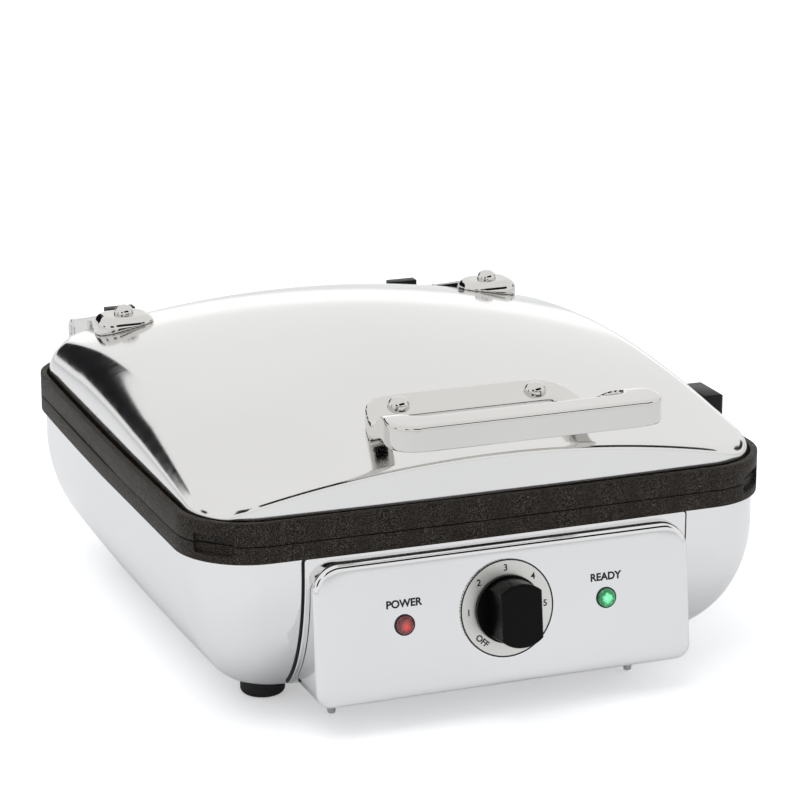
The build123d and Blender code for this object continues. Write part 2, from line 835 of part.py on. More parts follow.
with BuildPart() as thermostat_nut:
    with BuildSketch(dial_face.offset(dial_thickness)):
        RegularPolygon(bush_nut_radius, 6)
        Circle(bush_radius, mode=Mode.SUBTRACT)
    extrude(amount=bush_nut_height)
finish(thermostat_nut.part, "thermostat_nut")

# Knob and the shaft it turns
skirt_back = dial_thickness + skirt_gap
grip_back = skirt_back + skirt_thickness
knob_bore = grip_back + grip_height - shaft_cover

with BuildPart() as thermostat_shaft:
    with BuildSketch(dial_face.offset(shaft_end_gap - shaft_depth)):
        Circle(shaft_radius)
    extrude(amount=shaft_depth - shaft_end_gap + knob_bore)
finish(thermostat_shaft.part, "thermostat_shaft")

with BuildPart() as control_knob:
    with BuildSketch(dial_face.offset(skirt_back)):
        Circle(skirt_radius)
    extrude(amount=skirt_thickness)
    with BuildSketch(dial_face.offset(grip_back)):
        Circle(grip_radius)
        Rectangle(grip_width, 3 * grip_radius, mode=Mode.INTERSECT)
    extrude(amount=grip_height)
    fillet(control_knob.faces().sort_by(outward)[-1].edges(), knob_edge)
    with BuildSketch(dial_face.offset(skirt_back)):
        Circle(bush_nut_radius + knob_nut_clearance)
    extrude(amount=bush_nut_height + knob_nut_clearance, mode=Mode.SUBTRACT)
    with BuildSketch(dial_face.offset(skirt_back)):
        Circle(shaft_radius)
    extrude(amount=knob_bore - skirt_back, mode=Mode.SUBTRACT)
finish(control_knob.part, "control_knob")

# Indicator lights
for x, light in ((-light_x, "power"), (light_x, "ready")):
    spot = on_panel(x, light_rise)
    with BuildPart() as lens:
        with BuildSketch(spot.offset(-panel_wall)):
            Circle(lens_radius)
        extrude(amount=panel_wall + lens_proud)
        fillet(lens.edges().sort_by(outward)[-1], lens_proud - fit_gap)
        with BuildSketch(spot.offset(-panel_wall)):
            Circle(lens_radius + lens_step)
        extrude(amount=-lens_step)
    finish(lens.part, f"{light}_lens")
    with BuildPart() as lamp:
        with BuildSketch(spot.offset(-panel_wall - lens_step)):
            Circle(lens_radius)
        extrude(amount=-lamp_length)
        with BuildSketch(spot.offset(-panel_wall - lens_step - lamp_length)):
            with GridLocations(lamp_pin_pitch, 0, 2, 1):
                Circle(lamp_pin_radius)
        extrude(amount=-lamp_pin_length)
    finish(lamp.part, f"{light}_lamp")

# Hinges: bracket on the housing, strap on the lid, pin through both
ear_gap = tongue_width + 2 * ear_clearance
strap_top = dome_height(hinge_x, hinge_bolt_y) + strap_rise
arm_high = strap_top - strap_fall
knuckle_low = pivot_height - knuckle_radius
bracket_front = case_depth / 2 - bracket_set
knuckle_front = pivot_y - knuckle_radius
knuckle_back = pivot_y + knuckle_radius
strap_foot = strap_top - strap_depth
strap_heel = lid_depth / 2 + 1

# Small screw on the outer side of each strap
strap_side = arm_x + strap_width / 2
with BuildPart() as strap_shank_pair:
    with BuildSketch(Plane.YZ.offset(strap_side - strap_screw_bite)):
        with Locations((strap_screw_y, strap_screw_height)):
            Circle(strap_screw_radius)
    extrude(amount=strap_screw_bite)
    mirror(about=Plane.YZ)
strap_shanks = strap_shank_pair.part

with BuildPart() as strap_head_pair:
    with BuildSketch(Plane.YZ.offset(strap_side)):
        with Locations((strap_screw_y, strap_screw_height)):
            Circle(strap_screw_head)
    extrude(amount=strap_screw_rise)
    fillet(strap_head_pair.edges().sort_by(Axis.X)[-1], strap_screw_rise / 2)
    mirror(about=Plane.YZ)

with BuildPart() as strap_screws:
    add(strap_shanks)
    add(strap_head_pair.part)
finish(strap_screws.part, "strap_screws")

for x, pad_x, side in ((-arm_x, -hinge_x, "left"), (arm_x, hinge_x, "right")):
    with BuildPart() as hinge_base:
        with BuildSketch(Plane.YZ.offset(x - strap_width / 2)):
            with BuildLine():
                Polyline((bracket_front, base_low), (bracket_front, case_top - bracket_gap),
                         (knuckle_front - bracket_lean, case_top - bracket_gap),
                         (knuckle_front, knuckle_low - 3 * bracket_gap), (knuckle_front, pivot_height))
                ThreePointArc((knuckle_front, pivot_height), (pivot_y, pivot_height + knuckle_radius),
                              (knuckle_back, pivot_height))
                Polyline((knuckle_back, pivot_height), (knuckle_back, case_top - bracket_gap),
                         (knuckle_front, base_low + bracket_bevel), (knuckle_front - bracket_lean, base_low),
                         (bracket_front, base_low))
            make_face()
        extrude(amount=strap_width)
        with Locations((x, pivot_y, pivot_height)):
            Box(ear_gap, 4 * knuckle_radius, 2 * knuckle_radius + 2 * web_clearance, mode=Mode.SUBTRACT)
            Cylinder(hinge_pin_radius, 2 * strap_width, rotation=(0, 90, 0), mode=Mode.SUBTRACT)
        add(tub_outer, mode=Mode.SUBTRACT)
        with BuildSketch(Plane.XZ.offset(-case_depth / 2 - bracket_bite)):
            with Locations((x - hinge_screw_offset, bracket_screw_height),
                           (x + hinge_screw_offset, bracket_screw_height)):
                Circle(screw_radius)
        extrude(amount=2 * bracket_bite, mode=Mode.SUBTRACT)
    finish(hinge_base.part, f"hinge_base_{side}")

    with BuildPart() as hinge_pin:
        with Locations((x, pivot_y, pivot_height)):
            Cylinder(hinge_pin_radius, strap_width, rotation=(0, 90, 0))
    finish(hinge_pin.part, f"hinge_pin_{side}")

    with BuildPart() as hinge_strap:
        with BuildSketch(Plane.XY.offset(strap_foot)):
            with Locations((pad_x, hinge_bolt_y)):
                RectangleRounded(pad_width, pad_depth, pad_corner)
        extrude(amount=strap_depth)
        fillet(hinge_strap.edges().group_by(Axis.Z)[-1], pad_edge)
        with BuildSketch(Plane.YZ.offset(x - strap_width / 2)):
            with BuildLine():
                Polyline((hinge_bolt_y, strap_foot), (hinge_bolt_y, arm_high))
                Spline((hinge_bolt_y, arm_high), (pivot_y, pivot_height + knuckle_radius),
                       tangents=[(1, -0.2), (1, -0.25)])
                ThreePointArc((pivot_y, pivot_height + knuckle_radius), (knuckle_back, pivot_height),
                              (pivot_y, knuckle_low))
                Spline((pivot_y, knuckle_low), (strap_heel, strap_low), tangents=[(-1, 0.1), (-1, 0.4)])
                Polyline((strap_heel, strap_low), (lid_depth / 2 - bracket_set, strap_foot),
                         (hinge_bolt_y, strap_foot))
            make_face()
        extrude(amount=strap_width)
        cut_width = (strap_width - tongue_width) / 2
        cut_depth = 2 * (knuckle_radius + strap_clearance)
        for edge in (-1, 1):
            with Locations((x + edge * (tongue_width + cut_width) / 2, pivot_y, pivot_height)):
                Box(cut_width, cut_depth, 6 * knuckle_radius, mode=Mode.SUBTRACT)
        add(dome_outer, mode=Mode.SUBTRACT)
        with BuildSketch(Plane.XY.offset(upper_ledge)):
            with Locations((pad_x, hinge_bolt_y)):
                Circle(bolt_radius)
        extrude(amount=lid_crown, mode=Mode.SUBTRACT)
        with Locations((x, pivot_y, pivot_height)):
            Cylinder(hinge_pin_radius + shaft_clearance, 2 * strap_width, rotation=(0, 90, 0),
                     mode=Mode.SUBTRACT)
        add(strap_shanks, mode=Mode.SUBTRACT)
    finish(hinge_strap.part, f"hinge_strap_{side}")

with BuildPart() as hinge_bolts:
    with BuildSketch(Plane.XY.offset(upper_ledge)):
        with Locations(*bolt_places[2:]):
            Circle(bolt_radius)
    extrude(amount=strap_top + hinge_bolt_end - upper_ledge)
finish(hinge_bolts.part, "hinge_bolts")

with BuildPart() as hinge_nuts:
    with BuildSketch(Plane.XY.offset(strap_top)):
        with Locations(*bolt_places[2:]):
            Circle(nut_radius)
    extrude(amount=nut_height)
    fillet(hinge_nuts.edges().group_by(Axis.Z)[-1], nut_radius - 1)
    with BuildSketch(Plane.XY.offset(strap_top)):
        with Locations(*bolt_places[2:]):
            Circle(bolt_radius)
    extrude(amount=hinge_bolt_end, mode=Mode.SUBTRACT)
finish(hinge_nuts.part, "hinge_nuts")


def wall_screws(places, bite):
    """Screws along Y, with their heads inside the housing's rear wall."""
    reach = max(abs(x) for x, z in places) + wall_head_radius
    inner = case_depth / 2 - case_wall - wall_drop(reach) - fit_gap
    outer = case_depth / 2 + bite
    with BuildPart() as screws:
        with BuildSketch(Plane.XZ.offset(-inner)):
            with Locations(*places):
                Circle(wall_head_radius)
        extrude(amount=screw_head_height)
        with BuildSketch(Plane.XZ.offset(-outer)):
            with Locations(*places):
                Circle(screw_radius)
        extrude(amount=outer - inner)
    return screws.part


hinge_screw_places = [(x + offset, bracket_screw_height) for x in (-arm_x, arm_x)
                      for offset in (-hinge_screw_offset, hinge_screw_offset)]
stand_screw_places = [(x + offset, bracket_screw_height) for x in (-stand_x, stand_x)
                      for offset in (-stand_screw_offset, stand_screw_offset)]
finish(wall_screws(hinge_screw_places, bracket_bite), "hinge_base_screws")
finish(wall_screws(stand_screw_places, stand_wall), "rear_stand_screws")

# Moulded stands at the rear: the cord winds round them and the maker stores upright on them
for x, side in ((-stand_x, "left"), (stand_x, "right")):
    with BuildPart() as rear_stand:
        with BuildSketch(Plane.YZ.offset(x - stand_width / 2)):
            back = knuckle_back
            wall = case_depth / 2
            stand_floor = stand_low + stand_wall + stand_bevel
            with BuildLine():
                Polyline((wall - stand_set, stand_low), (wall - stand_set, stand_high),
                         (wall + stand_wall, stand_high), (wall + stand_wall, stand_floor),
                         (back - stand_wall, stand_floor), (back - stand_wall, split_height + stand_rise),
                         (back, split_height + stand_rise), (back, stand_low + stand_bevel),
                         (back - stand_bevel, stand_low), (wall - stand_set, stand_low))
            make_face()
        extrude(amount=stand_width)
        add(tub_outer, mode=Mode.SUBTRACT)
        with BuildSketch(Plane.XZ.offset(-case_depth / 2 - stand_wall)):
            with Locations((x - stand_screw_offset, bracket_screw_height),
                           (x + stand_screw_offset, bracket_screw_height)):
                Circle(screw_radius)
        extrude(amount=2 * stand_wall, mode=Mode.SUBTRACT)
    finish(rear_stand.part, f"rear_stand_{side}")

# Cast handle: a plate screwed to the lid, two arms and a bar across the front
bar_top = split_height + handle_bar_rise
bar_bottom = bar_top - handle_bar_thickness
bar_back = handle_reach - handle_bar_depth
plate_back_top = dome_height(0, -handle_plate_back) + handle_plate_thickness
plate_front_top = dome_height(0, -handle_plate_front) + handle_plate_thickness
plate_slope = (plate_back_top - plate_front_top) / (handle_plate_front - handle_plate_back)
arm_front = handle_plate_front + handle_lead
arm_start = dome_height(0, -arm_front)
handle_low = arm_start - handle_root
handle_seat = dome_height(handle_screw_x, -handle_screw_y) + handle_plate_thickness - handle_spot

with BuildPart() as lid_handle:
    with BuildSketch(Plane.YZ.offset(-handle_bar_half - overshoot)):
        with BuildLine():
            Polyline((-handle_plate_back, handle_low), (-handle_plate_back, plate_back_top),
                     (-handle_plate_front, plate_front_top))
            Spline((-handle_plate_front, plate_front_top), (-bar_back, bar_top),
                   tangents=[(-1, -plate_slope), (-1, 0)])
            Polyline((-bar_back, bar_top), (-handle_reach, bar_top), (-handle_reach, bar_bottom),
                     (-bar_back, bar_bottom))
            Spline((-bar_back, bar_bottom), (-arm_front, arm_start), tangents=[(1, 0), (1, -0.1)])
            Polyline((-arm_front, arm_start), (-arm_front, handle_low),
                     (-handle_plate_back, handle_low))
        make_face()
    extrude(amount=2 * (handle_bar_half + overshoot))
    with BuildSketch(Plane.XY.offset(handle_low)) as plan:
        with BuildLine():
            Polyline((-handle_plate_half, -handle_plate_back), (handle_plate_half, -handle_plate_back),
                     (handle_plate_half + handle_flare, -handle_plate_front), (handle_bar_half, -bar_back),
                     (handle_bar_half, -handle_reach), (-handle_bar_half, -handle_reach),
                     (-handle_bar_half, -bar_back), (-handle_plate_half - handle_flare, -handle_plate_front),
                     (-handle_plate_half, -handle_plate_back))
        make_face()
        fillet(plan.vertices().group_by(Axis.Y)[-1], handle_end)
        fillet(plan.vertices().group_by(Axis.Y)[0], handle_corner)
        with BuildSketch(mode=Mode.PRIVATE) as slot:
            with BuildLine():
                inner_back = handle_plate_half + handle_flare - handle_arm
                inner_front = handle_bar_half - handle_arm
                Polyline((-inner_back, -handle_plate_front), (inner_back, -handle_plate_front),
                         (inner_front, -bar_back), (-inner_front, -bar_back),
                         (-inner_back, -handle_plate_front))
            make_face()
            fillet(slot.vertices(), handle_slot_corner)
        add(slot.sketch, mode=Mode.SUBTRACT)
    extrude(amount=2 * lid_crown, mode=Mode.INTERSECT)
    add(dome_outer, mode=Mode.SUBTRACT)
    with BuildSketch(Plane.XY.offset(handle_low)):
        with Locations(*bolt_places[:2]):
            Circle(bolt_radius)
    extrude(amount=lid_crown, mode=Mode.SUBTRACT)
    with BuildSketch(Plane.XY.offset(handle_seat)):
        with Locations(*bolt_places[:2]):
            Circle(handle_screw_head + fit_gap)
    extrude(amount=overshoot, mode=Mode.SUBTRACT)
finish(lid_handle.part, "lid_handle")

with BuildPart() as handle_screws:
    with BuildSketch(Plane.XY.offset(pan_top)):
        with Locations(*bolt_places[:2]):
            Circle(bolt_radius)
    extrude(amount=handle_seat - pan_top)
    with BuildSketch(Plane.XY.offset(handle_seat)):
        with Locations(*bolt_places[:2]):
            Circle(handle_screw_head)
    extrude(amount=handle_head_height)
    fillet(handle_screws.edges().group_by(Axis.Z)[-1], handle_screw_head - 1)
finish(handle_screws.part, "handle_screws")
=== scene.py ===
import json
from math import atan2, cos, hypot, pi, radians, sin, sqrt

import bmesh
import bpy
from mathutils import Matrix, Vector
from mathutils.bvhtree import BVHTree


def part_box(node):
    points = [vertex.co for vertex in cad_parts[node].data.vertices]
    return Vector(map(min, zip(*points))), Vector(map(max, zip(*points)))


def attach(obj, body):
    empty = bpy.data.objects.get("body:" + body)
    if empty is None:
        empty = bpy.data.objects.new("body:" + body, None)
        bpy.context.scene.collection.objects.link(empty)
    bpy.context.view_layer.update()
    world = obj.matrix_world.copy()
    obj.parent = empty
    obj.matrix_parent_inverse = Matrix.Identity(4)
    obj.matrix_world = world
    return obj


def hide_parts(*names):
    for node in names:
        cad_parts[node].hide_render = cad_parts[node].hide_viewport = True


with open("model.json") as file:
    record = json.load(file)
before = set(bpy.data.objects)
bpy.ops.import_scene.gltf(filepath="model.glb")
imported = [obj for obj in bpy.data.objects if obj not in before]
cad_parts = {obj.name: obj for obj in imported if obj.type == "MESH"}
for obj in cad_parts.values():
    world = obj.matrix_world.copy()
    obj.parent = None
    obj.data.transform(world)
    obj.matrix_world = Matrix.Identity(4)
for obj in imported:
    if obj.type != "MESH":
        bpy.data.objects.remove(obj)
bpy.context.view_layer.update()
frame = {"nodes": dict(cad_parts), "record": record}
nodes = frame["nodes"]
MM = 0.001

# Sizes of the formed shells, in metres, as in the solid model
lid_low, lid_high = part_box("lid_shell")
rim_low, rim_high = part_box("lower_cooking_plate")
tub_low, tub_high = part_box("base_housing")
middle_x = (lid_low.x + lid_high.x) / 2
side_bow = 2.5 * MM
lid_wall = 1.0 * MM
lid_crown_shift = 15 * MM
lid_drop_x = 21 * MM
lid_drop_y = 19 * MM
side_shoulder = 25 * MM
front_shoulder = 4.5 * MM
shoulder_room = 0.9
lid_corner = 35 * MM
lid_foot = lid_low.z
lid_top = 162.5 * MM
lid_shoulder_steps = 14
lid_top_steps = 40
case_wall = 1.0 * MM
case_top = tub_high.z
case_corner = 37.5 * MM
case_top_gap = 0.3 * MM
under_steps = 30
under_height = 75 * MM
under_inset = 50 * MM
under_corner = 12 * MM
tub_bottom = tub_low.z
panel_tilt = radians(7)
panel_width = 210 * MM
panel_height = 75 * MM
panel_front = 178.5 * MM
panel_middle = 55.5 * MM
panel_top_corner = 15 * MM
panel_bottom_corner = 8 * MM
panel_flange = 1.5 * MM
panel_gap = 0.5 * MM
panel_round_steps = 6
dial_rise = 3.5 * MM
light_x = 56.5 * MM
light_rise = 1.8 * MM

# Camera that matches the photograph's view
camera_turn = radians(21.06)
camera_tip = radians(16.51)
camera_distance = 1.81915
camera_target = Vector((middle_x + 32.54 * MM, 59.64 * MM, 105 * MM))
camera_lens = 140.05
frame_raise = 6.04 / 800


def socket(node, name, value):
    """Set an input of a shader node."""
    node.inputs[name].default_value = value


def new_material(name):
    """A material with an empty node tree but for its shader and output."""
    material = bpy.data.materials.new(name)
    material.use_nodes = True
    tree = material.node_tree
    shader = next(n for n in tree.nodes if n.type == "BSDF_PRINCIPLED")
    return material, tree, shader


def add_node(tree, kind, **inputs):
    """A node of a kind, with its inputs set by name."""
    node = tree.nodes.new(kind)
    for name, value in inputs.items():
        node.inputs[name.replace("_", " ")].default_value = value
    return node


def object_noise(tree, scale, detail, stretch=(1, 1, 1)):
    """Noise in the object's own coordinates, stretched along its axes."""
    place = tree.nodes.new("ShaderNodeTexCoord")
    mapping = tree.nodes.new("ShaderNodeMapping")
    mapping.inputs["Scale"].default_value = stretch
    noise = add_node(tree, "ShaderNodeTexNoise", Scale=scale, Detail=detail)
    tree.links.new(place.outputs["Object"], mapping.inputs["Vector"])
    tree.links.new(mapping.outputs["Vector"], noise.inputs["Vector"])
    return noise


def ramp(tree, source, stops):
    """Colour ramp over a value: stops are (position, colour)."""
    node = tree.nodes.new("ShaderNodeValToRGB")
    elements = node.color_ramp.elements
    while len(elements) < len(stops):
        elements.new(0.5)
    for element, (position, colour) in zip(elements, stops):
        element.position = position
        element.color = (*colour, 1)
    tree.links.new(source, node.inputs["Fac"])
    return node


def remap(tree, source, low, high, start=0.0, end=1.0):
    """Value moved from one range to another."""
    node = tree.nodes.new("ShaderNodeMapRange")
    socket(node, "From Min", start)
    socket(node, "From Max", end)
    socket(node, "To Min", low)
    socket(node, "To Max", high)
    tree.links.new(source, node.inputs["Value"])
    return node.outputs["Result"]


def bump(tree, shader, height, strength, distance):
    """Bump from a height, into the shader's normal."""
    node = tree.nodes.new("ShaderNodeBump")
    socket(node, "Strength", strength)
    socket(node, "Distance", distance)
    tree.links.new(height, node.inputs["Height"])
    tree.links.new(node.outputs["Normal"], shader.inputs["Normal"])
    return node


def metal(name, colour, roughness, spread, grain_scale, stretch, bump_depth, metallic=1.0):
    """Metal with faint grain: colour, roughness and relief vary along a stretched noise."""
    material, tree, shader = new_material(name)
    socket(shader, "Metallic", metallic)
    grain = object_noise(tree, grain_scale, 6, stretch)
    broad = object_noise(tree, 9, 3)
    tint = ramp(tree, broad.outputs["Fac"], [(0.35, tuple(0.97 * c for c in colour)), (0.7, colour)])
    tree.links.new(tint.outputs["Color"], shader.inputs["Base Color"])
    tree.links.new(remap(tree, grain.outputs["Fac"], roughness - spread, roughness + spread, 0.3, 0.7),
                   shader.inputs["Roughness"])
    bump(tree, shader, grain.outputs["Fac"], 0.25, bump_depth)
    return material


def casting_coat(name):
    """Black non-stick coat with fine pale speckles and an orange-peel surface."""
    material, tree, shader = new_material(name)
    fine = object_noise(tree, 3400, 2)
    coarse = object_noise(tree, 900, 3)
    speckle = ramp(tree, fine.outputs["Fac"], [(0.0, (0.004, 0.003, 0.0025)), (0.55, (0.006, 0.005, 0.004)),
                                               (0.68, (0.20, 0.17, 0.14))])
    tree.links.new(speckle.outputs["Color"], shader.inputs["Base Color"])
    tree.links.new(remap(tree, coarse.outputs["Fac"], 0.42, 0.62, 0.3, 0.7), shader.inputs["Roughness"])
    socket(shader, "Specular IOR Level", 0.12)
    bump(tree, shader, coarse.outputs["Fac"], 0.35, 0.00012)
    return material


def moulded(name, colour, roughness, grain=1500, depth=0.00004, sheen=0.3):
    """Moulded plastic or rubber with a fine grain."""
    material, tree, shader = new_material(name)
    noise = object_noise(tree, grain, 3)
    tint = ramp(tree, noise.outputs["Fac"], [(0.3, tuple(0.8 * c for c in colour)),
                                             (0.7, tuple(1.15 * c for c in colour))])
    tree.links.new(tint.outputs["Color"], shader.inputs["Base Color"])
    tree.links.new(remap(tree, noise.outputs["Fac"], roughness - 0.05, roughness + 0.05, 0.3, 0.7),
                   shader.inputs["Roughness"])
    bump(tree, shader, noise.outputs["Fac"], 0.3, depth)
    socket(shader, "Specular IOR Level", sheen)
    return material


def lens_material(name, node, dark, bright, glow):
    """Clear coloured lens whose facets scatter the lamp behind it, brightest in the middle."""
    material, tree, shader = new_material(name)
    place = tree.nodes.new("ShaderNodeTexCoord")
    low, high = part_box(node)
    offset = tree.nodes.new("ShaderNodeVectorMath")
    offset.operation = "DISTANCE"
    offset.inputs[1].default_value = (low + high) / 2
    tree.links.new(place.outputs["Object"], offset.inputs[0])
    cells = tree.nodes.new("ShaderNodeTexVoronoi")
    socket(cells, "Scale", 520)
    tree.links.new(place.outputs["Object"], cells.inputs["Vector"])
    facets = remap(tree, cells.outputs["Distance"], 0.25, 0.0, 0.0, 0.6)
    middle = remap(tree, offset.outputs["Value"], 0.95, 0.0, 1.2 * MM, 4.6 * MM)
    lit = tree.nodes.new("ShaderNodeMath")
    tree.links.new(facets, lit.inputs[0])
    tree.links.new(middle, lit.inputs[1])
    pale = tuple(0.5 + c / 2 for c in bright)
    tint = ramp(tree, lit.outputs[0], [(0.1, dark), (0.55, bright), (1.0, pale)])
    tree.links.new(tint.outputs["Color"], shader.inputs["Base Color"])
    tree.links.new(tint.outputs["Color"], shader.inputs["Emission Color"])
    socket(shader, "Emission Strength", glow)
    socket(shader, "Roughness", 0.06)
    socket(shader, "Coat Weight", 1.0)
    socket(shader, "Coat Roughness", 0.03)
    bump(tree, shader, cells.outputs["Distance"], 0.5, 0.0004)
    return material


polished = metal("polished_steel", (0.765, 0.765, 0.765), 0.07, 0.012, 60, (1, 1, 1), 0.000002)
satin = metal("satin_steel", (0.745, 0.74, 0.727), 0.12, 0.02, 260, (0.06, 1, 1), 0.000005)
chrome = metal("chrome_casting", (0.66, 0.65, 0.63), 0.045, 0.012, 50, (1, 1, 1), 0.000008)
dial_grey = metal("dial_metal", (0.79, 0.785, 0.75), 0.34, 0.04, 700, (1, 1, 1), 0.000004, 0.55)
zinc = metal("zinc_steel", (0.62, 0.62, 0.60), 0.3, 0.06, 400, (1, 1, 1), 0.00001)
coat = casting_coat("nonstick_casting")
black_plastic = moulded("black_plastic", (0.008, 0.008, 0.008), 0.42, sheen=0.2)
knob_plastic = moulded("knob_plastic", (0.002, 0.002, 0.002), 0.3, 2200, 0.00001, 0.1)
rubber = moulded("rubber_foot", (0.014, 0.014, 0.014), 0.7)
terminal = moulded("terminal_moulding", (0.62, 0.58, 0.50), 0.5)
lamp_glass = moulded("lamp_glass", (0.8, 0.8, 0.78), 0.1)
print_black = moulded("print_black", (0.012, 0.012, 0.012), 0.5)
red_lens = lens_material("red_lens", "power_lens", (0.08, 0.002, 0.002), (0.6, 0.03, 0.02), 0.5)
green_lens = lens_material("green_lens", "ready_lens", (0.0, 0.10, 0.03), (0.15, 0.8, 0.35), 1.3)
materials_by_slot = {
    "polished_steel": polished, "satin_steel": satin, "chrome_casting": chrome, "dial_metal": dial_grey,
    "zinc_steel": zinc, "nonstick_casting": coat, "black_plastic": black_plastic,
    "knob_plastic": knob_plastic, "rubber_foot": rubber, "terminal_moulding": terminal,
    "lamp_glass": lamp_glass, "red_lens": red_lens, "green_lens": green_lens,
}


def paint(piece, material):
    """Give every material slot of a piece the same material."""
    if not piece.data.materials:
        piece.data.materials.append(material)
    for slot in piece.material_slots:
        slot.material = material


for entry in frame["record"]["subparts"]:
    paint(nodes[entry["node"]], materials_by_slot[entry["material_slot"]])


def place(mesh_name, mesh, body, slot, stands_for=(), sharp=40):
    """Make a smooth-shaded piece from a mesh, on a body, in place of the solid nodes it stands for."""
    for polygon in mesh.polygons:
        polygon.use_smooth = True
    mesh.set_sharp_from_angle(angle=radians(sharp))
    piece = bpy.data.objects.new(mesh_name, mesh)
    bpy.context.scene.collection.objects.link(piece)
    paint(piece, materials_by_slot[slot])
    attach(piece, body)
    if stands_for:
        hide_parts(*stands_for)
    return piece


def loft(name, rings, closed_ends=(True, True)):
    """Mesh through rings of points, each ring with as many points as the next."""
    form = bmesh.new()
    rows = [[form.verts.new(p) for p in ring] for ring in rings]
    count = len(rows[0])
    for low, high in zip(rows, rows[1:]):
        for k in range(count):
            after = (k + 1) % count
            form.faces.new((low[k], low[after], high[after], high[k]))
    for row, close, flip in ((rows[0], closed_ends[0], True), (rows[-1], closed_ends[1], False)):
        if close:
            centre = form.verts.new(sum((v.co for v in row), Vector()) / count)
            for k in range(count):
                after = (k + 1) % count
                corners = (row[k], row[after], centre)
                form.faces.new(tuple(reversed(corners)) if flip else corners)
    bmesh.ops.recalc_face_normals(form, faces=form.faces)
    mesh = bpy.data.meshes.new(name)
    form.to_mesh(mesh)
    form.free()
    return mesh


def pillow(width, depth, corner, bow, side_steps=40, corner_steps=18):
    """Points and outward normals round a rounded rectangle whose sides bow outward."""
    half = (width / 2, depth / 2)
    radius = [((half[1 - k] - bow) ** 2 + bow ** 2) / (2 * bow) for k in (0, 1)]
    # Centres of the right-hand and rear side arcs, and of the corner arc between them
    right = Vector((half[0] - radius[0], 0))
    rear = Vector((0, half[1] - radius[1]))
    reach_right, reach_rear = radius[0] - corner, radius[1] - corner
    span = (rear - right).length
    along = (span ** 2 + reach_right ** 2 - reach_rear ** 2) / (2 * span)
    aside = sqrt(reach_right ** 2 - along ** 2)
    way = (rear - right) / span
    options = [right + way * along + Vector((way.y, -way.x)) * aside * s for s in (1, -1)]
    turn = max(options, key=lambda p: p.x + p.y)
    first = atan2(turn.y - right.y, turn.x - right.x)
    second = atan2(turn.y - rear.y, turn.x - rear.x)
    quarter = []
    for k in range(side_steps // 2 + 1):
        angle = first * k / (side_steps // 2)
        quarter.append((right.x + radius[0] * cos(angle), radius[0] * sin(angle), cos(angle), sin(angle)))
    for k in range(1, corner_steps):
        angle = first + (second - first) * k / corner_steps
        quarter.append((turn.x + corner * cos(angle), turn.y + corner * sin(angle), cos(angle), sin(angle)))
    for k in range(side_steps // 2 + 1):
        angle = second + (pi / 2 - second) * k / (side_steps // 2)
        quarter.append((radius[1] * cos(angle), rear.y + radius[1] * sin(angle), cos(angle), sin(angle)))
    whole = quarter[:-1]
    whole += [(-x, y, -nx, ny) for x, y, nx, ny in reversed(quarter)][:-1]
    whole += [(-x, -y, -nx, -ny) for x, y, nx, ny in quarter][:-1]
    whole += [(x, -y, nx, -ny) for x, y, nx, ny in reversed(quarter)][:-1]
    return whole


def ring(outline, level, out=0.0):
    """Outline at a level, moved along its normals and to the object's middle."""
    return [Vector((middle_x + x + out * nx, y + out * ny, level)) for x, y, nx, ny in outline]


# Lid
lid_width = lid_high.x - lid_low.x
lid_depth = lid_high.y - lid_low.y
arch_x = (lid_width / 2) ** 2 / (2 * lid_drop_x) + lid_drop_x / 2
arch_y = (lid_depth / 2) ** 2 / (2 * lid_drop_y) + lid_drop_y / 2


def arch(x, y, inset):
    """Point height and upward normal of the lid's two-way arch, drawn in by an inset."""
    across, along, top = arch_x - inset, arch_y - inset, lid_top - inset
    sag = across - sqrt(across ** 2 - x ** 2)
    swing = along - sag
    rise = sqrt(swing ** 2 - (y - lid_crown_shift) ** 2)
    slope_x = -(x / (across - sag)) * swing / rise
    slope_y = -(y - lid_crown_shift) / rise
    return top - along + rise, Vector((-slope_x, -slope_y, 1)).normalized()


def lid_rings(inset):
    """Rings of the lid from its foot over the shoulder to near the middle."""
    outline = pillow(lid_width - 2 * inset, lid_depth - 2 * inset, lid_corner - inset, side_bow)
    centres = []
    for x, y, nx, ny in outline:
        wanted = front_shoulder + (side_shoulder - front_shoulder) * nx ** 2
        room = shoulder_room * (arch(x, y, 0)[0] - lid_foot)
        shoulder = min(wanted, room) - inset
        cx, cy = x - shoulder * nx, y - shoulder * ny
        level, normal = arch(cx, cy, inset + shoulder)
        centres.append((Vector((cx, cy, max(level, lid_foot))), Vector((nx, ny, 0)), normal, shoulder))
    rings = []
    for share in (0, 0.5, 1):
        rings.append([Vector((middle_x + c.x + shoulder * n.x, c.y + shoulder * n.y,
                              lid_foot + share * (c.z - lid_foot))) for c, n, up, shoulder in centres])
    for k in range(1, lid_shoulder_steps + 1):
        row = []
        for c, n, up, shoulder in centres:
            way = n.slerp(up, k / lid_shoulder_steps)
            p = c + shoulder * way
            row.append(Vector((middle_x + p.x, p.y, p.z)))
        rings.append(row)
    edge = rings[-1]
    for k in range(1, lid_top_steps):
        share = 1 - k / lid_top_steps
        row = []
        for p in edge:
            x, y = (p.x - middle_x) * share, p.y * share
            row.append(Vector((middle_x + x, y, arch(x, y, inset)[0])))
        rings.append(row)
    return rings


outer = lid_rings(0)
inner = lid_rings(lid_wall)
place("lid_dome", loft("lid_dome", list(reversed(inner)) + outer), "lid", "satin_steel", ["lid_shell"])

# Tub
case_width = rim_high.x - rim_low.x - 5 * MM
case_depth = rim_high.y - rim_low.y - 5 * MM


